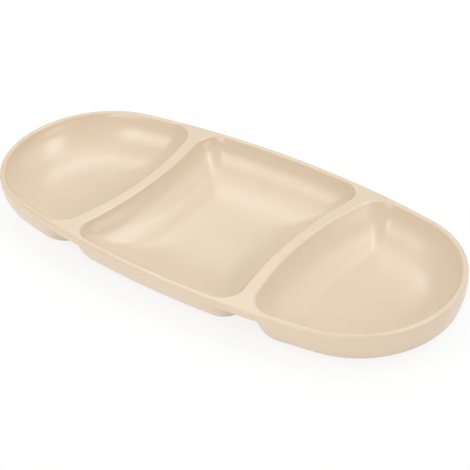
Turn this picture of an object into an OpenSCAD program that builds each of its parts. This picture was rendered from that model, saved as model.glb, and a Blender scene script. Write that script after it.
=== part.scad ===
// Divided serving bowl, moulded in one piece: an oval dish with a D-shaped well
// at each end and a four-sided well between them. The rim and the two dividers
// lie in one plane. Below it the three wells bulge down to flat feet, and the
// dividers are hollow underneath.
// X runs along the bowl, Z is up, and the origin is in the middle of the base.

/* [Overall size] */
// Length over the rim
bowl_length = 383; // [340:1:440]
// Width over the rim
bowl_width = 167; // [155:1:190]
// Height from the table to the top of the rim
bowl_height = 25; // [22:0.5:36]
// How far each long side bows out past the round ends
side_bow = 10.9; // [6:0.1:16]

/* [Rim] */
// Width of the rim beside the wells
rim_width = 3.7; // [3:0.1:7]
// Height of the upright band that hangs from the rim
band_height = 6.2; // [5:0.1:9]
// Radius of the rim's outer edge
rim_edge_radius = 1.4; // [0.8:0.1:1.6]
// Radius of the edge of each well
well_edge_radius = 1; // [0.5:0.1:1.4]

/* [Dividers] */
// Distance from the middle of the bowl to the middle of a divider
divider_place = 68; // [60:0.5:76]
// Width of a divider at its narrowest
divider_width = 8.3; // [7:0.1:14]
// Radius of the divider's edge on the end well, seen from above
end_well_bow = 215; // [170:5:400]
// Radius of the divider's edge on the centre well, seen from above
centre_well_bow = 285; // [220:5:500]

/* [Wells] */
// Thickness of the top, of the band and of the walls below the dividers
wall_thickness = 3; // [2:0.1:3.4]
// Thickness of the floors in the middle of the wells, where they are thinnest
floor_thickness = 2.5; // [2:0.1:4]
// Radius of an end well's corners at the rim, seen from above
end_corner_radius = 19; // [14:0.5:26]
// Radius of an end well's corners at its floor, seen from above
end_floor_corner_radius = 4.5; // [4:0.5:24]
// Lean of the wall along an end well's long sides, from the rim to the floor
end_side_slope = 9.9; // [2:0.1:14]
// Height of the turn from that wall into the floor
end_side_turn_height = 19.2; // [8:0.1:21]
// Reach of the turn from that wall into the floor
end_side_turn_reach = 26.5; // [8:0.5:36]
// Lean of the wall at an end well's nose, from the rim to the floor
end_nose_slope = 8.2; // [2:0.1:14]
// Height of the turn from the nose into the floor
end_nose_turn_height = 18.6; // [8:0.1:21]
// Reach of the turn from the nose into the floor
end_nose_turn_reach = 28.5; // [8:0.5:32]
// Lean of an end well's wall along its divider, from the rim to the floor
end_divider_slope = 14.3; // [2:0.1:16]
// Height of the turn from that wall into the floor
end_divider_turn_height = 20.4; // [8:0.1:21]
// Reach of the turn from that wall into the floor
end_divider_turn_reach = 17.5; // [8:0.5:28]
// How much deeper an end well's floor is in its middle than at its edge
end_floor_dish = 1.4; // [0.4:0.1:3]
// Radius of the centre well's corners at the rim, seen from above
centre_corner_radius = 15.2; // [12:0.2:20]
// Radius of the centre well's corners at its floor, seen from above
centre_floor_corner_radius = 6; // [4:0.5:18]
// Lean of the wall along the centre well's long sides, from the rim to the floor
centre_side_slope = 9.1; // [2:0.1:14]
// Height of the turn from that wall into the floor
centre_side_turn_height = 14.4; // [6:0.1:17]
// Reach of the turn from that wall into the floor
centre_side_turn_reach = 30.5; // [6:0.5:32]
// Lean of the centre well's walls along the dividers, from the rim to the floor
centre_divider_slope = 9.2; // [2:0.1:14]
// Height of the turn from those walls into the floor
centre_divider_turn_height = 16; // [6:0.1:17]
// Reach of the turn from those walls into the floor
centre_divider_turn_reach = 17; // [6:0.5:28]
// How much deeper the centre well's floor is in its middle than at its edge
centre_floor_dish = 5.1; // [0.4:0.1:7]

/* [Outer walls] */
// Lean of an end well's long sides, from the band to the base
end_side_lean = 7; // [1:0.1:9]
// Lean of an end well's nose, from the band to the base
end_nose_lean = 5; // [0.5:0.1:9]
// Lean of the centre well's long sides, from the band to the base
centre_side_lean = 10; // [1:0.1:12]
// Lean of an end well's wall under its divider
end_divider_lean = 4.2; // [1:0.1:8]
// Lean of the centre well's walls under the dividers
centre_divider_lean = 6.2; // [1:0.1:10]
// Radius of an end well's outer corners at the base, less the wall's thickness
end_base_corner_radius = 19.5; // [14:0.5:26]
// Height of the rounding between an end well's outer wall and its base
end_base_height = 5; // [3:0.5:12]
// Reach of the rounding between an end well's outer wall and its base
end_base_reach = 8; // [4:0.5:14]
// Radius of the centre well's outer corners at the base, less the wall's thickness
centre_base_corner_radius = 10; // [8:0.5:18]
// Height of the rounding between the centre well's outer wall and its base
centre_base_height = 8; // [4:0.5:12]
// Reach of the rounding between the centre well's outer wall and its base
centre_base_reach = 9; // [4:0.5:14]

/* [Hidden] */

// Steps in each arc of an outline, and down each wall and rounding
end_arc_steps = 9;
side_arc_steps = 6;
gap_arc_steps = 2;
corner_arc_steps = 6;
divider_arc_steps = 4;
wall_steps = 3;
turn_steps = 5;
inner_steps = 9;
edge_steps = 3;
// How the outer walls curve in below the band: 1 is straight, 2 a parabola
wall_curve = 1.6;
// How the floors curve in the same way: a higher power leaves the middle flatter
end_floor_curve = 2.8;
centre_floor_curve = 4.9;
// Sizes of a floor's rings, as shares of its edge
floor_ring_shares = [0.2, 0.5, 0.8];
// Overrun that carries a cut clear of the top
overrun = 1;

half_length = bowl_length / 2;
half_width = bowl_width / 2;
end_radius = half_width - side_bow;
well_depth = bowl_height - floor_thickness;
end_wall_depth = well_depth - end_floor_dish;
centre_wall_depth = well_depth - centre_floor_dish;

// Each long side is an arc that runs into the round ends without a corner
end_centre_x = half_length - end_radius;
side_radius = (pow(end_centre_x, 2) + pow(half_width, 2) - pow(end_radius, 2)) / (2 * side_bow);
side_centre = [0, half_width - side_radius];

// The centre of the arc that forms each edge of the right-hand divider
end_bow_centre = [divider_place + divider_width / 2 + end_well_bow, 0];
centre_bow_centre = [divider_place - divider_width / 2 + centre_well_bow, 0];

// The middle of the centre well and of the right-hand well, where their floors are deepest
centre_well_middle = [0, 0];
end_well_half = (half_length - rim_width - divider_place - divider_width / 2) / 2;
end_well_middle = [divider_place + divider_width / 2 + end_well_half, 0];

// Direction from one point to another, as an angle
function bearing(from, to) = atan2(to.y - from.y, to.x - from.x);

// Points on an arc, from its start up to the point before its end
function arc(centre, radius, start, end, steps) = [
    for (i = [0 : steps - 1])
        let (angle = start + (end - start) * i / steps)
            centre + radius * [cos(angle), sin(angle)]
];

// Centre of a round corner that lies at two given distances from two centres
function corner_centre(first, first_distance, second, second_distance) =
    let (
        between = second - first,
        apart = norm(between),
        along = (pow(first_distance, 2) - pow(second_distance, 2) + pow(apart, 2)) / (2 * apart),
        aside = sqrt(pow(first_distance, 2) - pow(along, 2))
    )
    first + (along * between + aside * [-between.y, between.x]) / apart;

// Radius of the round end that touches both long sides, for insets of sides and end
function nose_radius(side_inset, nose_inset) =
    let (
        side = side_radius - side_inset,
        reach = half_length - nose_inset
    )
    (pow(side, 2) - pow(reach, 2) - pow(side_centre.y, 2)) / (2 * (side - reach));

// A path turned over in X or in Y, in the opposite order
function turned_x(path) = [for (i = [len(path) - 1 : -1 : 0]) [-path[i].x, path[i].y]];
function turned_y(path) = [for (i = [len(path) - 1 : -1 : 0]) [path[i].x, -path[i].y]];

// A closed outline from its half above the X axis, which starts and ends on the axis
function closed(half) = concat(half, turned_y([for (i = [1 : len(half) - 2]) half[i]]));

// A half outline from its quarter, which ends on the Y axis
function doubled(quarter) = concat(quarter, turned_x([for (i = [0 : len(quarter) - 2]) quarter[i]]));

// The round end of an outline and the long side after it, up to an angle
function nose_and_side(side_inset, nose_inset, side_end_angle) =
    let (
        radius = nose_radius(side_inset, nose_inset),
        centre = [half_length - nose_inset - radius, 0],
        meeting = bearing(side_centre, centre)
    )
    concat(
        arc(centre, radius, 0, meeting, end_arc_steps),
        arc(side_centre, side_radius - side_inset, meeting, side_end_angle, side_arc_steps)
    );

// Centre of the back corner of the right-hand well, beside the divider
function end_corner(side_inset, divider_inset, corner_radius) = corner_centre(
    side_centre, side_radius - side_inset - corner_radius,
    end_bow_centre, end_well_bow - divider_inset - corner_radius
);

// Centre of the back right corner of the centre well
function centre_corner(side_inset, divider_inset, corner_radius) = corner_centre(
    side_centre, side_radius - side_inset - corner_radius,
    centre_bow_centre, centre_well_bow + divider_inset + corner_radius
);

// Outline of the whole bowl, with points where the outer walls' corners begin
function bowl_outline(inset) =
    let (
        end_angle = bearing(side_centre, end_corner(
            0, end_divider_inset(band_height), end_wall_corner(band_height)
        )),
        centre_angle = bearing(side_centre, centre_corner(
            0, centre_divider_inset(band_height), centre_wall_corner(band_height)
        ))
    )
    closed(doubled(concat(
        nose_and_side(inset, inset, end_angle),
        arc(side_centre, side_radius - inset, end_angle, centre_angle, gap_arc_steps),
        arc(side_centre, side_radius - inset, centre_angle, 90, side_arc_steps),
        [[0, half_width - inset]]
    )));

// Outline of the right-hand well
function end_outline(side_inset, nose_inset, divider_inset, corner_radius) =
    let (
        bow = end_well_bow - divider_inset,
        corner = end_corner(side_inset, divider_inset, corner_radius),
        side_angle = bearing(side_centre, corner),
        bow_angle = bearing(end_bow_centre, corner)
    )
    closed(concat(
        nose_and_side(side_inset, nose_inset, side_angle),
        arc(corner, corner_radius, side_angle, bow_angle, corner_arc_steps),
        arc(end_bow_centre, bow, bow_angle, 180, divider_arc_steps),
        [end_bow_centre - [bow, 0]]
    ));

// Outline of the centre well, whose dividers bow towards its middle
function centre_outline(side_inset, divider_inset, corner_radius) =
    let (
        bow = centre_well_bow + divider_inset,
        corner = centre_corner(side_inset, divider_inset, corner_radius),
        side_angle = bearing(side_centre, corner),
        bow_angle = bearing(centre_bow_centre, corner)
    )
    closed(doubled(concat(
        arc(centre_bow_centre, bow, 180, bow_angle, divider_arc_steps),
        arc(corner, corner_radius, bow_angle - 180, side_angle, corner_arc_steps),
        arc(side_centre, side_radius - side_inset, side_angle, 90, side_arc_steps),
        [[0, half_width - side_inset]]
    )));

// An outline lifted to a height
function at_height(outline, z) = [for (p = outline) [p.x, p.y, z]];

// An outline drawn in towards a middle point
function drawn_in(outline, middle, share) = [for (p = outline) middle + share * (p - middle)];

// Depths down a wall, each with its inset, where the wall turns into the floor
function turn(depth, height, reach) = [
    for (i = [0 : turn_steps])
        let (angle = 90 * i / turn_steps)
            [depth - height * (1 - sin(angle)), reach * (1 - cos(angle))]
];

// Depths down a rounded edge, each with its inset
function edge(radius) = [
    for (i = [0 : edge_steps])
        let (angle = 90 * i / edge_steps)
            [radius * (1 - cos(angle)), radius * (1 - sin(angle))]
];

// Inset of the outer walls at a depth: they stand inside the band, come flush
// with its foot and then curve inwards
function outer_inset(lean, depth) = depth < band_height
    ? wall_thickness / 2
    : lean * pow((depth - band_height) / (bowl_height - band_height), wall_curve);

// Inset of the outer walls under the dividers, and the radius of their corners
function end_divider_inset(depth) = end_divider_lean * depth / bowl_height - wall_thickness;
function centre_divider_inset(depth) = centre_divider_lean * depth / bowl_height - wall_thickness;
function end_wall_corner(depth) = end_corner_radius + wall_thickness
    + (end_base_corner_radius - end_corner_radius) * depth / bowl_height;
function centre_wall_corner(depth) = centre_corner_radius + wall_thickness
    + (centre_base_corner_radius - centre_corner_radius) * depth / bowl_height;

// A solid through outlines with equal numbers of points, the lowest one first
module loft(rings) {
    count = len(rings[0]);
    top = len(rings) - 1;
    polyhedron(
        points = [for (ring = rings) each ring],
        faces = concat(
            [[for (i = [0 : count - 1]) i]],
            [
                for (k = [0 : top - 1], i = [0 : count - 1])
                    let (low = k * count, high = low + count, next = (i + 1) % count)
                        each [[low + i, high + i, high + next], [low + i, high + next, low + next]]
            ],
            [[for (i = [count - 1 : -1 : 0]) top * count + i]]
        )
    );
}

// The flat top with its rounded outer edge and the band that hangs from it
module rim_plate() {
    rounded = edge(rim_edge_radius);
    difference() {
        loft(concat(
            [at_height(bowl_outline(0), bowl_height - band_height)],
            [
                for (i = [edge_steps : -1 : 0])
                    at_height(bowl_outline(rounded[i][1]), bowl_height - rounded[i][0])
            ]
        ));
        loft([
            at_height(bowl_outline(wall_thickness), bowl_height - band_height - overrun),
            at_height(bowl_outline(wall_thickness), bowl_height - wall_thickness)
        ]);
    }
}

// Outline of an end well's outer wall at a depth
function end_outer(depth, inset) = end_outline(
    outer_inset(end_side_lean, depth) + inset,
    outer_inset(end_nose_lean, depth) + inset,
    end_divider_inset(depth) + inset,
    end_wall_corner(depth)
);

// Outline of the centre well's outer wall at a depth
function centre_outer(depth, inset) = centre_outline(
    outer_inset(centre_side_lean, depth) + inset,
    centre_divider_inset(depth) + inset,
    centre_wall_corner(depth)
);

// The walls of the wells. Each has its lean, the height and the reach of its turn into
// the floor, and the distance from the well's middle to the rim there
end_side_wall = [
    end_side_slope, min(end_side_turn_height, end_wall_depth),
    end_side_turn_reach, end_radius - rim_width
];
end_nose_wall = [
    end_nose_slope, min(end_nose_turn_height, end_wall_depth),
    end_nose_turn_reach, end_well_half
];
end_divider_wall = [
    end_divider_slope, min(end_divider_turn_height, end_wall_depth),
    end_divider_turn_reach, end_well_half
];
centre_side_wall = [
    centre_side_slope, min(centre_side_turn_height, centre_wall_depth),
    centre_side_turn_reach, half_width - rim_width
];
centre_divider_wall = [
    centre_divider_slope, min(centre_divider_turn_height, centre_wall_depth),
    centre_divider_turn_reach, divider_place - divider_width / 2
];

// Angle through which a wall has turned where it meets the dished floor, whose edge lies
// at a distance from the middle
function angle_at(wall, dish, curve, edge_distance) =
    atan2(wall[1], wall[2] * curve * dish / edge_distance);
function last_angle(wall, dish, curve) =
    let (
        rim_distance = wall[3] - wall[0],
        first = angle_at(wall, dish, curve, rim_distance - wall[2])
    )
    angle_at(wall, dish, curve, rim_distance - wall[2] * (1 - cos(first)));

// Inset of a well's wall at a depth: it leans in and then turns into the floor
function wall_inset(wall, depth, dish, curve) =
    let (
        below = max(0, 1 - (well_depth - dish - depth) / wall[1]),
        turned = below * sin(last_angle(wall, dish, curve))
    )
    wall[0] * depth / well_depth + wall[2] * (1 - sqrt(1 - pow(turned, 2)));

// Outline of an end well's inside at a depth
function end_inner(depth, inset) =
    let (at = function (wall) wall_inset(wall, depth, end_floor_dish, end_floor_curve) + inset)
    end_outline(
        rim_width + at(end_side_wall),
        rim_width + at(end_nose_wall),
        at(end_divider_wall),
        end_corner_radius + (end_floor_corner_radius - end_corner_radius) * depth / well_depth
    );

// Outline of the centre well's inside at a depth
function centre_inner(depth, inset) =
    let (at = function (wall) wall_inset(wall, depth, centre_floor_dish, centre_floor_curve) + inset)
    centre_outline(
        rim_width + at(centre_side_wall),
        at(centre_divider_wall),
        centre_corner_radius
            + (centre_floor_corner_radius - centre_corner_radius) * depth / well_depth
    );

// Outer body of a well, solid, from its foot up into the flat top
function outer_rings(outline, turn_height, turn_reach) =
    let (
        foot = turn(bowl_height, turn_height, turn_reach),
        straight = bowl_height - turn_height - band_height
    )
    concat(
        [for (i = [turn_steps : -1 : 0]) at_height(outline(foot[i][0], foot[i][1]), bowl_height - foot[i][0])],
        [
            for (i = [wall_steps - 1 : -1 : 0])
                let (depth = band_height + straight * i / wall_steps)
                    at_height(outline(depth, 0), bowl_height - depth)
        ],
        [at_height(outline(wall_thickness / 2, 0), bowl_height - wall_thickness / 2)]
    );

// Inside of a well, from the middle of its floor up through its open top
function inner_rings(outline, middle, dish, curve) =
    let (
        edge_depth = well_depth - dish,
        floor_edge = outline(edge_depth, 0),
        rounded = edge(well_edge_radius)
    )
    concat(
        [
            for (share = floor_ring_shares)
                at_height(drawn_in(floor_edge, middle, share), floor_thickness + dish * pow(share, curve))
        ],
        [
            for (i = [inner_steps : -1 : 1])
                let (depth = well_edge_radius + (edge_depth - well_edge_radius) * sin(90 * i / inner_steps))
                    at_height(outline(depth, 0), bowl_height - depth)
        ],
        [
            for (i = [edge_steps : -1 : 0])
                at_height(outline(rounded[i][0], -rounded[i][1]), bowl_height - rounded[i][0])
        ],
        [at_height(outline(0, -well_edge_radius), bowl_height + overrun)]
    );

// A pair of solids, one at each end of the bowl
module both_ends() {
    for (side = [0, 1])
        mirror([side, 0, 0])
            children();
}

// The bowl, one moulding
module divided_bowl() {
    color([0.92, 0.84, 0.75])
    difference() {
        union() {
            rim_plate();
            loft(outer_rings(
                function (depth, inset) centre_outer(depth, inset),
                centre_base_height, centre_base_reach
            ));
            both_ends()
                loft(outer_rings(
                    function (depth, inset) end_outer(depth, inset),
                    end_base_height, end_base_reach
                ));
        }
        loft(inner_rings(
            function (depth, inset) centre_inner(depth, inset),
            centre_well_middle, centre_floor_dish, centre_floor_curve
        ));
        both_ends()
            loft(inner_rings(
                function (depth, inset) end_inner(depth, inset),
                end_well_middle, end_floor_dish, end_floor_curve
            ));
    }
}

divided_bowl();
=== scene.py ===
import math
from collections import namedtuple

import bmesh
import bpy
from mathutils import Matrix, Vector


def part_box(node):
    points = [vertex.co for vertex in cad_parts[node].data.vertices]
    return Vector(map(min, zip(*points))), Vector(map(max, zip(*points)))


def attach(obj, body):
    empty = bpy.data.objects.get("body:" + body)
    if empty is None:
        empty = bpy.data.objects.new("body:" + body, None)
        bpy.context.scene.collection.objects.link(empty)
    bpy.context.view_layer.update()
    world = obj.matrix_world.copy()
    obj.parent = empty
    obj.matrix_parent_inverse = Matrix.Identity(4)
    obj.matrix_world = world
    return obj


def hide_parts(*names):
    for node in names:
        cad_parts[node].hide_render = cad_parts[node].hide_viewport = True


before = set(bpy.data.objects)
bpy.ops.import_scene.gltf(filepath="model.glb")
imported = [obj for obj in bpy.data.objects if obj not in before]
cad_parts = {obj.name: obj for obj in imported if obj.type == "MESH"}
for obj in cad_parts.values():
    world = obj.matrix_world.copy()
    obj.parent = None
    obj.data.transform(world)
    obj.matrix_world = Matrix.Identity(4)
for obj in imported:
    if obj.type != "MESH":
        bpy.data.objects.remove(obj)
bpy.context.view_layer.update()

MM = 0.001
NODE = "divided_bowl"
box_low, box_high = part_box(NODE)

# Overall size, from the box of the part in model.glb
LENGTH = box_high.x - box_low.x
WIDTH = box_high.y - box_low.y
HEIGHT = box_high.z - box_low.z
HALF_LENGTH = LENGTH / 2
HALF_WIDTH = WIDTH / 2

# Plan of the bowl
SIDE_BOW = 10.9 * MM
RIM_WIDTH = 3.7 * MM
DIVIDER_PLACE = 68 * MM
DIVIDER_WIDTH = 8.3 * MM
END_WELL_BOW = 215 * MM
CENTRE_WELL_BOW = 285 * MM
WALL = 3 * MM
FLOOR = 2.5 * MM

# Rim
BAND_HEIGHT = 6.2 * MM
BAND_FOOT_RADIUS = 0.5 * MM
RIM_EDGE_RADIUS = 1.6 * MM
WELL_EDGE_RADIUS = 1 * MM

# Wells. Corner radii are seen from above, at the rim and at the floor. Each wall leans in
# by so much over the whole depth and ends in a turn, which meets the edge of a dished floor.
# A dish rises from the middle with a power, the curve, of the share of the way to that edge.
Wall = namedtuple("Wall", "lean turn_height turn_reach rim_distance")
END_CORNER = 19 * MM
END_FLOOR_CORNER = 4.5 * MM
END_DISH = 1.4 * MM
END_CURVE = 2.8
CENTRE_CORNER = 15.2 * MM
CENTRE_FLOOR_CORNER = 6 * MM
CENTRE_DISH = 5.1 * MM
CENTRE_CURVE = 4.9

# Outer walls: how far each leans in from the band to the base, with a power of the depth below
# the band, the corner radii at the base, and the height and reach of the turn into the base
END_SIDE_LEAN = 7 * MM
END_NOSE_LEAN = 5 * MM
CENTRE_SIDE_LEAN = 10 * MM
END_DIVIDER_LEAN = 4.2 * MM
CENTRE_DIVIDER_LEAN = 6.2 * MM
END_OUTER_CORNER_BASE = 19.5 * MM
CENTRE_OUTER_CORNER_BASE = 10 * MM
END_BASE = (5 * MM, 8 * MM)
CENTRE_BASE = (8 * MM, 9 * MM)
WALL_CURVE = 1.6

# Steps of the outlines, the walls and the roundings
END_ARC_STEPS = 32
SIDE_ARC_STEPS = 16
GAP_ARC_STEPS = 6
CORNER_ARC_STEPS = 16
DIVIDER_ARC_STEPS = 14
WALL_STEPS = 10
TURN_STEPS = 20
INNER_STEPS = 26
EDGE_STEPS = 6
FLOOR_STEPS = 12
ANGLE_PASSES = 2

# Cuts reach past the faces that they open, points that they leave closer than the weld
# distance become one, and the slack is a share of the rounding at the foot of the band
OVERRUN = 1 * MM
WELD_DISTANCE = 0.002 * MM
BAND_SLACK = 0.01

# Shading: edges sharper than this stay crisp, and the larger faces lead the normals
CREASE_ANGLE = math.radians(32)
NORMAL_WEIGHT = 100

# Plastic: the two tones of its mottle, its range of gloss and its fine skin. Each noise has
# its scale per metre and its detail.
TONES = ((0.712, 0.574, 0.426, 1), (0.742, 0.602, 0.450, 1))
MOTTLE_NOISE = (45, 4)
ROUGHNESS = (0.22, 0.28)
GLOSS_NOISE = (110, 3)
SKIN_NOISE = (2200, 2)
SKIN_DEPTH = 0.02 * MM
SKIN_STRENGTH = 0.12
PLASTIC_IOR = 1.6

# Floor: a white sheet just under the feet, which glows for the rays that see it
FLOOR_HALF = 4
FLOOR_DROP = 0.1 * MM
FLOOR_COLOUR = (0.9, 0.9, 0.9, 1)
FLOOR_ROUGHNESS = 0.9
FLOOR_GLOW_SHARE = 0.85

# Studio light. Azimuth 0 is the front and 90 the right, and a lamp's width and height are
# the angles that it fills, all in degrees.
SKY_COLOUR = (1, 1, 1, 1)
SKY_STRENGTH = 0.53
BACKDROP_STRENGTH = 1
LAMP_DISTANCE = 1.6
Lamp = namedtuple("Lamp", "name azimuth elevation width height radiance")
LAMPS = [
    Lamp("front_low", 0, 10, 40, 16, 4.18),
    Lamp("right", 95, 28, 40, 18, 1.94),
    Lamp("rear_low", 160, 35, 30, 20, 0.58),
    Lamp("rear_right_a", 125, 60, 18, 20, 3.24),
    Lamp("rear_right_b", 160, 64, 18, 16, 3.30),
    Lamp("rear_right_c", 140, 46, 20, 16, 0.80),
    Lamp("rear_right_low", 115, 52, 7, 10, 0.36),
    Lamp("rear_right_core_a", 130, 66, 8, 8, 0.74),
    Lamp("rear_right_core_b", 150, 66, 8, 8, 1.08),
    Lamp("rear_right_core_c", 140, 56, 8, 8, 0.82),
    Lamp("rear_left_a", 228, 46, 20, 16, 1.59),
    Lamp("rear_left_b", 235, 62, 20, 16, 1.02),
    Lamp("rear_left_core", 229, 40, 9, 8, 1.87),
    Lamp("rear_top", 192, 62, 20, 16, 1.76),
    Lamp("rear_core", 187, 45, 9, 9, 0.84),
    Lamp("front_left_a", 317, 55, 14, 16, 3.25),
    Lamp("front_left_b", 300, 60, 16, 16, 2.55),
    Lamp("front_left_core", 314, 55, 8, 8, 1.24),
    Lamp("front_left_low", 305, 44, 12, 8, 0.12),
    Lamp("left", 275, 60, 22, 18, 0.40),
]

# Camera: where it stands as seen from its target, in degrees, and its lens
CAMERA_AZIMUTH = 41.57
CAMERA_ELEVATION = 35.91
CAMERA_ROLL = -5.04
CAMERA_DISTANCE = 991.55 * MM
CAMERA_TARGET = Vector((28.35 * MM, -17.09 * MM, HEIGHT))
SENSOR = 36
LENS = 110.37
CLIP_START = 0.05
CLIP_END = 50

# Circles of the plan. Each long side is one arc, which meets the round ends without a corner.
WELL_DEPTH = HEIGHT - FLOOR
END_RADIUS = HALF_WIDTH - SIDE_BOW
END_CENTRE_X = HALF_LENGTH - END_RADIUS
SIDE_RADIUS = (END_CENTRE_X ** 2 + HALF_WIDTH ** 2 - END_RADIUS ** 2) / (2 * SIDE_BOW)
SIDE_CENTRE = Vector((0, HALF_WIDTH - SIDE_RADIUS))
END_BOW_CENTRE = Vector((DIVIDER_PLACE + DIVIDER_WIDTH / 2 + END_WELL_BOW, 0))
CENTRE_BOW_CENTRE = Vector((DIVIDER_PLACE - DIVIDER_WIDTH / 2 + CENTRE_WELL_BOW, 0))
CENTRE_MIDDLE = Vector((0, 0))
END_WELL_HALF = (HALF_LENGTH - RIM_WIDTH - DIVIDER_PLACE - DIVIDER_WIDTH / 2) / 2
END_MIDDLE = Vector((DIVIDER_PLACE + DIVIDER_WIDTH / 2 + END_WELL_HALF, 0))

# Walls at the side, the nose and the divider of an end well, and at the side and the divider
# of the centre well
END_WALLS = [
    Wall(9.9 * MM, 19.2 * MM, 26.5 * MM, END_RADIUS - RIM_WIDTH),
    Wall(8.2 * MM, 18.6 * MM, 28.5 * MM, END_WELL_HALF),
    Wall(14.3 * MM, 20.4 * MM, 17.5 * MM, END_WELL_HALF),
]
CENTRE_WALLS = [
    Wall(9.1 * MM, 14.4 * MM, 30.5 * MM, HALF_WIDTH - RIM_WIDTH),
    Wall(9.2 * MM, 16 * MM, 17 * MM, DIVIDER_PLACE - DIVIDER_WIDTH / 2),
]


def bearing(start, end):
    return math.atan2(end.y - start.y, end.x - start.x)


def arc(centre, radius, start, end, steps):
    """Points on an arc, from its start up to the point before its end."""
    return [
        centre + radius * Vector((math.cos(a), math.sin(a)))
        for a in (start + (end - start) * i / steps for i in range(steps))
    ]


def corner_centre(first, first_distance, second, second_distance):
    """Centre of a round corner that lies at two given distances from two centres."""
    between = second - first
    apart = between.length
    along = (first_distance ** 2 - second_distance ** 2 + apart ** 2) / (2 * apart)
    aside = math.sqrt(first_distance ** 2 - along ** 2)
    return first + (along * between + aside * Vector((-between.y, between.x))) / apart


def closed(half):
    """A closed outline from its half above the X axis."""
    return half + [Vector((p.x, -p.y)) for p in reversed(half[1:-1])]


def doubled(part):
    """A half outline from a quarter of it, which ends on the Y axis."""
    return part + [Vector((-p.x, p.y)) for p in reversed(part[:-1])]


def nose_and_side(side_inset, nose_inset, side_end_angle):
    """The round end of an outline and the long side after it, up to an angle."""
    side = SIDE_RADIUS - side_inset
    reach = HALF_LENGTH - nose_inset
    radius = (side ** 2 - reach ** 2 - SIDE_CENTRE.y ** 2) / (2 * (side - reach))
    centre = Vector((reach - radius, 0))
    meeting = bearing(SIDE_CENTRE, centre)
    return arc(centre, radius, 0, meeting, END_ARC_STEPS) + arc(
        SIDE_CENTRE, side, meeting, side_end_angle, SIDE_ARC_STEPS
    )


def end_corner(side_inset, divider_inset, radius):
    return corner_centre(
        SIDE_CENTRE, SIDE_RADIUS - side_inset - radius,
        END_BOW_CENTRE, END_WELL_BOW - divider_inset - radius,
    )


def centre_corner(side_inset, divider_inset, radius):
    return corner_centre(
        SIDE_CENTRE, SIDE_RADIUS - side_inset - radius,
        CENTRE_BOW_CENTRE, CENTRE_WELL_BOW + divider_inset + radius,
    )


def end_outline(side_inset, nose_inset, divider_inset, radius):
    """Outline of the right-hand well."""
    bow = END_WELL_BOW - divider_inset
    corner = end_corner(side_inset, divider_inset, radius)
    side_angle = bearing(SIDE_CENTRE, corner)
    bow_angle = bearing(END_BOW_CENTRE, corner)
    return closed(
        nose_and_side(side_inset, nose_inset, side_angle)
        + arc(corner, radius, side_angle, bow_angle, CORNER_ARC_STEPS)
        + arc(END_BOW_CENTRE, bow, bow_angle, math.pi, DIVIDER_ARC_STEPS)
        + [END_BOW_CENTRE - Vector((bow, 0))]
    )


def centre_outline(side_inset, divider_inset, radius):
    """Outline of the centre well, whose dividers bow towards its middle."""
    bow = CENTRE_WELL_BOW + divider_inset
    corner = centre_corner(side_inset, divider_inset, radius)
    side_angle = bearing(SIDE_CENTRE, corner)
    bow_angle = bearing(CENTRE_BOW_CENTRE, corner)
    return closed(doubled(
        arc(CENTRE_BOW_CENTRE, bow, math.pi, bow_angle, DIVIDER_ARC_STEPS)
        + arc(corner, radius, bow_angle - math.pi, side_angle, CORNER_ARC_STEPS)
        + arc(SIDE_CENTRE, SIDE_RADIUS - side_inset, side_angle, math.pi / 2, SIDE_ARC_STEPS)
        + [Vector((0, HALF_WIDTH - side_inset))]
    ))


# Insets of the walls at a depth below the rim
def outer_inset(lean, depth):
    """The outer walls stand inside the band, come flush at its foot and curve inwards."""
    if depth < BAND_HEIGHT - BAND_FOOT_RADIUS * (1 + BAND_SLACK):
        return WALL / 2
    if depth < BAND_HEIGHT:
        return 0
    return lean * ((depth - BAND_HEIGHT) / (HEIGHT - BAND_HEIGHT)) ** WALL_CURVE


def end_divider_inset(depth):
    return END_DIVIDER_LEAN * depth / HEIGHT - WALL


def centre_divider_inset(depth):
    return CENTRE_DIVIDER_LEAN * depth / HEIGHT - WALL


def end_wall_corner(depth):
    return END_CORNER + WALL + (END_OUTER_CORNER_BASE - END_CORNER) * depth / HEIGHT


def centre_wall_corner(depth):
    return CENTRE_CORNER + WALL + (CENTRE_OUTER_CORNER_BASE - CENTRE_CORNER) * depth / HEIGHT


def end_outer(depth, inset):
    return end_outline(
        outer_inset(END_SIDE_LEAN, depth) + inset,
        outer_inset(END_NOSE_LEAN, depth) + inset,
        end_divider_inset(depth) + inset,
        end_wall_corner(depth),
    )


def centre_outer(depth, inset):
    return centre_outline(
        outer_inset(CENTRE_SIDE_LEAN, depth) + inset,
        centre_divider_inset(depth) + inset,
        centre_wall_corner(depth),
    )


def end_inner(share, insets):
    side, nose, divider = insets
    radius = END_CORNER + (END_FLOOR_CORNER - END_CORNER) * share
    return end_outline(RIM_WIDTH + side, RIM_WIDTH + nose, divider, radius)


def centre_inner(share, insets):
    side, divider = insets
    radius = CENTRE_CORNER + (CENTRE_FLOOR_CORNER - CENTRE_CORNER) * share
    return centre_outline(RIM_WIDTH + side, divider, radius)


def bowl_outline(inset):
    """Outline of the whole bowl, with points where the outer walls' corners begin."""
    depth = BAND_HEIGHT - BAND_FOOT_RADIUS
    end_start = end_corner(0, end_divider_inset(depth), end_wall_corner(depth))
    centre_start = centre_corner(0, centre_divider_inset(depth), centre_wall_corner(depth))
    end_angle = bearing(SIDE_CENTRE, end_start)
    centre_angle = bearing(SIDE_CENTRE, centre_start)
    radius = SIDE_RADIUS - inset
    return closed(doubled(
        nose_and_side(inset, inset, end_angle)
        + arc(SIDE_CENTRE, radius, end_angle, centre_angle, GAP_ARC_STEPS)
        + arc(SIDE_CENTRE, radius, centre_angle, math.pi / 2, SIDE_ARC_STEPS)
        + [Vector((0, HALF_WIDTH - inset))]
    ))


def at_height(outline, z):
    return [Vector((p.x, p.y, z)) for p in outline]


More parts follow.
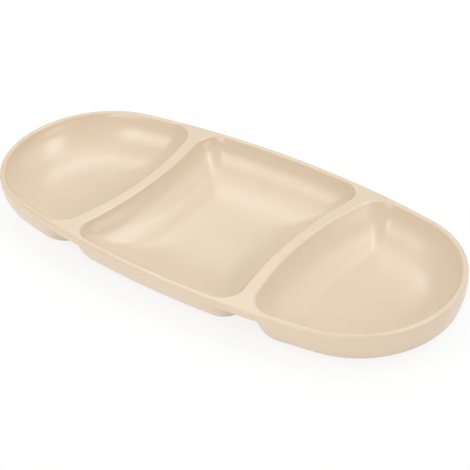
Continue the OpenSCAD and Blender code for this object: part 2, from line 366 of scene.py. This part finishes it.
def quarter(steps):
    """Angles of a quarter turn, both ends included."""
    return [math.pi / 2 * i / steps for i in range(steps + 1)]


def edge(radius):
    """Depths down a rounded edge, each with its inset."""
    return [
        (radius * (1 - math.cos(a)), radius * (1 - math.sin(a))) for a in quarter(EDGE_STEPS)
    ]


def placed(name, data):
    """An object of the scene with the given data."""
    obj = bpy.data.objects.new(name, data)
    bpy.context.scene.collection.objects.link(obj)
    return obj


def loft(name, rings, pole=None):
    """A closed mesh through outlines with equal numbers of points, the lowest first.
    A pole closes the lowest ring with a fan."""
    count = len(rings[0])
    points = [p for ring in rings for p in ring]
    faces = []
    for k in range(len(rings) - 1):
        low = k * count
        for i in range(count):
            j = (i + 1) % count
            faces.append((low + i, low + j, low + count + j, low + count + i))
    faces.append([(len(rings) - 1) * count + i for i in range(count)])
    if pole:
        points.append(pole)
        faces += [((i + 1) % count, i, len(points) - 1) for i in range(count)]
    else:
        faces.append(list(reversed(range(count))))
    mesh = bpy.data.meshes.new(name)
    mesh.from_pydata(points, [], faces)
    return placed(name, mesh)


def outer_body(name, outline, turn):
    """Outer body of a well, solid, from its foot up into the flat top."""
    height, reach = turn
    rings = []
    for a in reversed(quarter(TURN_STEPS)):
        depth = HEIGHT - height * (1 - math.sin(a))
        rings.append(at_height(outline(depth, reach * (1 - math.cos(a))), HEIGHT - depth))
    straight = HEIGHT - height - BAND_HEIGHT
    for i in range(WALL_STEPS - 1, -1, -1):
        depth = BAND_HEIGHT + straight * i / WALL_STEPS
        rings.append(at_height(outline(depth, 0), HEIGHT - depth))
    depth = BAND_HEIGHT - BAND_FOOT_RADIUS
    rings.append(at_height(outline(depth, 0), HEIGHT - depth))
    rings.append(at_height(outline(WALL / 2, 0), HEIGHT - WALL / 2))
    return loft(name, rings)


def last_angle(wall, dish, curve):
    """Angle through which a wall has turned where it meets the dished floor's edge."""
    inner = wall.rim_distance - wall.lean
    angle = math.pi / 2
    for _ in range(ANGLE_PASSES):
        edge_distance = inner - wall.turn_reach * (1 - math.cos(angle))
        angle = math.atan2(wall.turn_height, wall.turn_reach * curve * dish / edge_distance)
    return angle


def wall_inset(wall, depth, dish, curve):
    """Inset of a well's wall at a depth: it leans in and then turns into the floor."""
    below = max(0, 1 - (WELL_DEPTH - dish - depth) / wall.turn_height)
    turned = below * math.sin(last_angle(wall, dish, curve))
    return wall.lean * depth / WELL_DEPTH + wall.turn_reach * (1 - math.sqrt(1 - turned ** 2))


def inner_body(name, outline, walls, middle, dish, curve):
    """Inside of a well, from the middle of its dished floor up through its open top."""
    edge_depth = WELL_DEPTH - dish

    def ring(depth, edge_inset):
        insets = [wall_inset(wall, depth, dish, curve) - edge_inset for wall in walls]
        return at_height(outline(depth / WELL_DEPTH, insets), HEIGHT - depth)

    floor_edge = ring(edge_depth, 0)
    rings = []
    for i in range(1, FLOOR_STEPS):
        share = i / FLOOR_STEPS
        drawn_in = [middle + share * (p.xy - middle) for p in floor_edge]
        rings.append(at_height(drawn_in, FLOOR + dish * share ** curve))
    for i in range(INNER_STEPS, 0, -1):
        share = math.sin(math.pi / 2 * i / INNER_STEPS)
        rings.append(ring(WELL_EDGE_RADIUS + (edge_depth - WELL_EDGE_RADIUS) * share, 0))
    for depth, inset in reversed(edge(WELL_EDGE_RADIUS)):
        rings.append(ring(depth, inset))
    open_top = outline(0, [-WELL_EDGE_RADIUS] * len(walls))
    rings.append(at_height(open_top, HEIGHT + OVERRUN))
    return loft(name, rings, pole=Vector((middle.x, middle.y, FLOOR)))


def mirrored(obj):
    """A copy of a piece at the other end of the bowl."""
    mesh = obj.data.copy()
    mesh.transform(Matrix.Scale(-1, 4, Vector((1, 0, 0))))
    mesh.flip_normals()
    return placed(obj.name + "_left", mesh)


def combine(obj, operation, others):
    """Joins the other meshes to a mesh, or cuts them from it, and removes them."""
    for other in others:
        step = obj.modifiers.new(operation, "BOOLEAN")
        step.operation = operation
        step.solver = "MANIFOLD"
        step.object = other
    depsgraph = bpy.context.evaluated_depsgraph_get()
    mesh = bpy.data.meshes.new_from_object(obj.evaluated_get(depsgraph))
    obj.modifiers.clear()
    obj.data = mesh
    for other in others:
        bpy.data.objects.remove(other)


def weld(mesh, distance):
    """Joins the points that a cut left almost on top of each other."""
    work = bmesh.new()
    work.from_mesh(mesh)
    bmesh.ops.remove_doubles(work, verts=work.verts, dist=distance)
    bmesh.ops.dissolve_degenerate(work, edges=work.edges, dist=distance)
    work.to_mesh(mesh)
    work.free()


def build_bowl():
    """The whole moulding: the rim with its band, the outer bodies, and the wells cut out."""
    band_foot = HEIGHT - BAND_HEIGHT
    foot = [
        (BAND_FOOT_RADIUS * (1 - math.sin(a)), BAND_FOOT_RADIUS * (1 - math.cos(a)))
        for a in quarter(EDGE_STEPS)
    ]
    rings = [at_height(bowl_outline(inset), band_foot + rise) for rise, inset in reversed(foot)]
    rings += [
        at_height(bowl_outline(inset), HEIGHT - depth)
        for depth, inset in reversed(edge(RIM_EDGE_RADIUS))
    ]
    bowl = loft("bowl", rings)
    under = loft("under", [
        at_height(bowl_outline(WALL), band_foot - OVERRUN),
        at_height(bowl_outline(WALL), HEIGHT - WALL),
    ])
    combine(bowl, "DIFFERENCE", [under])

    centre_body = outer_body("centre_outer", centre_outer, CENTRE_BASE)
    end_body = outer_body("end_outer", end_outer, END_BASE)
    combine(bowl, "UNION", [centre_body, end_body, mirrored(end_body)])

    centre_well = inner_body(
        "centre_inner", centre_inner, CENTRE_WALLS, CENTRE_MIDDLE, CENTRE_DISH, CENTRE_CURVE
    )
    end_well = inner_body("end_inner", end_inner, END_WALLS, END_MIDDLE, END_DISH, END_CURVE)
    combine(bowl, "DIFFERENCE", [centre_well, end_well, mirrored(end_well)])
    weld(bowl.data, WELD_DISTANCE)
    return bowl


bowl = build_bowl()
bowl.data.polygons.foreach_set("use_smooth", [True] * len(bowl.data.polygons))
bowl.data.set_sharp_from_angle(angle=CREASE_ANGLE)
weighted = bowl.modifiers.new("weighted", "WEIGHTED_NORMAL")
weighted.keep_sharp = True
weighted.weight = NORMAL_WEIGHT


# Material
def satin_plastic():
    """Plastic with a slight mottle, a gloss that varies and a fine skin."""
    material = bpy.data.materials.new("beige_moulding")
    material.use_nodes = True
    nodes, links = material.node_tree.nodes, material.node_tree.links
    shader = nodes["Principled BSDF"]
    place = nodes.new("ShaderNodeTexCoord").outputs["Object"]

    def noise(scale, detail):
        node = nodes.new("ShaderNodeTexNoise")
        node.inputs["Scale"].default_value = scale
        node.inputs["Detail"].default_value = detail
        links.new(place, node.inputs["Vector"])
        return node.outputs["Fac"]

    mottle = nodes.new("ShaderNodeMix")
    mottle.data_type = "RGBA"
    mottle.inputs["A"].default_value, mottle.inputs["B"].default_value = TONES
    links.new(noise(*MOTTLE_NOISE), mottle.inputs["Factor"])
    links.new(mottle.outputs["Result"], shader.inputs["Base Color"])

    gloss = nodes.new("ShaderNodeMapRange")
    gloss.inputs["To Min"].default_value, gloss.inputs["To Max"].default_value = ROUGHNESS
    links.new(noise(*GLOSS_NOISE), gloss.inputs["Value"])
    links.new(gloss.outputs["Result"], shader.inputs["Roughness"])

    bump = nodes.new("ShaderNodeBump")
    bump.inputs["Strength"].default_value = SKIN_STRENGTH
    bump.inputs["Distance"].default_value = SKIN_DEPTH
    links.new(noise(*SKIN_NOISE), bump.inputs["Height"])
    links.new(bump.outputs["Normal"], shader.inputs["Normal"])
    shader.inputs["IOR"].default_value = PLASTIC_IOR
    return material


bowl.data.materials.clear()
bowl.data.materials.append(satin_plastic())
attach(bowl, "root")
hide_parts(NODE)


# Floor
def white_floor():
    """A white that the bowl's shadow still darkens a little."""
    material = bpy.data.materials.new("white_floor")
    material.use_nodes = True
    nodes, links = material.node_tree.nodes, material.node_tree.links
    shader = nodes["Principled BSDF"]
    shader.inputs["Base Color"].default_value = FLOOR_COLOUR
    shader.inputs["Roughness"].default_value = FLOOR_ROUGHNESS
    shader.inputs["Specular IOR Level"].default_value = 0
    glow = nodes.new("ShaderNodeEmission")
    rays = nodes.new("ShaderNodeLightPath").outputs
    mix = nodes.new("ShaderNodeMixShader")

    def either(first, second):
        node = nodes.new("ShaderNodeMath")
        node.operation = "MAXIMUM"
        links.new(first, node.inputs[0])
        links.new(second, node.inputs[1])
        return node.outputs[0]

    share = nodes.new("ShaderNodeMath")
    share.operation = "MULTIPLY"
    share.inputs[1].default_value = FLOOR_GLOW_SHARE
    seen = either(rays["Is Camera Ray"], rays["Is Glossy Ray"])
    links.new(either(seen, rays["Is Transmission Ray"]), share.inputs[0])
    links.new(share.outputs[0], mix.inputs["Fac"])
    links.new(shader.outputs[0], mix.inputs[1])
    links.new(glow.outputs[0], mix.inputs[2])
    links.new(mix.outputs[0], nodes["Material Output"].inputs["Surface"])
    return material


floor_mesh = bpy.data.meshes.new("floor")
floor_mesh.from_pydata(
    [(-FLOOR_HALF, -FLOOR_HALF, 0), (FLOOR_HALF, -FLOOR_HALF, 0),
     (FLOOR_HALF, FLOOR_HALF, 0), (-FLOOR_HALF, FLOOR_HALF, 0)],
    [], [(0, 1, 2, 3)],
)
floor_mesh.materials.append(white_floor())
floor = placed("floor", floor_mesh)
floor.location.z = -FLOOR_DROP


# World
def studio_world():
    """An even light on the bowl, and plain white where the camera looks past the floor."""
    world = bpy.data.worlds.new("studio")
    world.use_nodes = True
    nodes, links = world.node_tree.nodes, world.node_tree.links
    sky = nodes["Background"]
    sky.inputs["Color"].default_value = SKY_COLOUR
    sky.inputs["Strength"].default_value = SKY_STRENGTH
    backdrop = nodes.new("ShaderNodeBackground")
    backdrop.inputs["Strength"].default_value = BACKDROP_STRENGTH
    rays = nodes.new("ShaderNodeLightPath").outputs
    mix = nodes.new("ShaderNodeMixShader")
    links.new(rays["Is Camera Ray"], mix.inputs["Fac"])
    links.new(sky.outputs[0], mix.inputs[1])
    links.new(backdrop.outputs[0], mix.inputs[2])
    links.new(mix.outputs[0], nodes["World Output"].inputs["Surface"])
    return world


bpy.context.scene.world = studio_world()


# Lamps
def direction(azimuth, elevation):
    """Unit vector from the bowl towards a place round it."""
    a, e = math.radians(azimuth), math.radians(elevation)
    return Vector((math.sin(a) * math.cos(e), -math.cos(a) * math.cos(e), math.sin(e)))


def span(angle):
    """Size that fills an angle at the lamps' distance."""
    return 2 * LAMP_DISTANCE * math.tan(math.radians(angle / 2))


def add_lamp(lamp):
    """A soft box that faces the bowl."""
    data = bpy.data.lights.new(lamp.name, "AREA")
    data.shape = "RECTANGLE"
    data.size = span(lamp.width)
    data.size_y = span(lamp.height)
    data.energy = lamp.radiance * math.pi * data.size * data.size_y
    obj = placed(lamp.name, data)
    back = direction(lamp.azimuth, lamp.elevation)
    obj.location = back * LAMP_DISTANCE
    obj.rotation_mode = "QUATERNION"
    obj.rotation_quaternion = back.to_track_quat("Z", "Y")


for lamp in LAMPS:
    add_lamp(lamp)


# Camera
def add_camera():
    """A camera at its distance from the target, rolled about its line of sight."""
    data = bpy.data.cameras.new("camera")
    data.sensor_width = SENSOR
    data.lens = LENS
    data.clip_start = CLIP_START
    data.clip_end = CLIP_END
    camera = placed("camera", data)
    azimuth = math.radians(CAMERA_AZIMUTH)
    roll = math.radians(CAMERA_ROLL)
    back = direction(CAMERA_AZIMUTH, CAMERA_ELEVATION)
    level = Vector((math.cos(azimuth), math.sin(azimuth), 0))
    upright = back.cross(level)
    across = math.cos(roll) * level + math.sin(roll) * upright
    up = math.cos(roll) * upright - math.sin(roll) * level
    turned = Matrix((across, up, back)).transposed().to_4x4()
    camera.matrix_world = Matrix.Translation(CAMERA_TARGET + back * CAMERA_DISTANCE) @ turned
    return camera


bpy.context.scene.camera = add_camera()
bpy.context.scene.view_settings.view_transform = "Standard"
